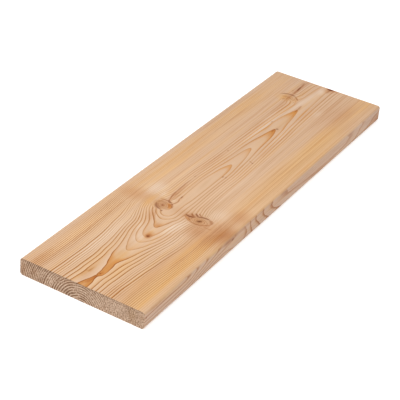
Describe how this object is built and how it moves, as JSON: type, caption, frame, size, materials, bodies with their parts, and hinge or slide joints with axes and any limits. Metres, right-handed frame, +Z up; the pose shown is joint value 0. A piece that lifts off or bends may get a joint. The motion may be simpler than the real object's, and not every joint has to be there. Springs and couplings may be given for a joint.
{
  "type": "timber plank",
  "caption": "Flat planed softwood plank of rectangular section with four rounded long edges and square-cut ends.",
  "frame": {"origin": "middle of the lower face", "axes": "+X along the length, with the grain, +Y across the width, +Z up through the thickness"},
  "size_m": [0.5, 0.14, 0.019],
  "materials": {
    "larch_wood": "planed, bare, satin"
  },
  "bodies": {
    "root": {"plank": "larch_wood"}
  },
  "joints": []
}
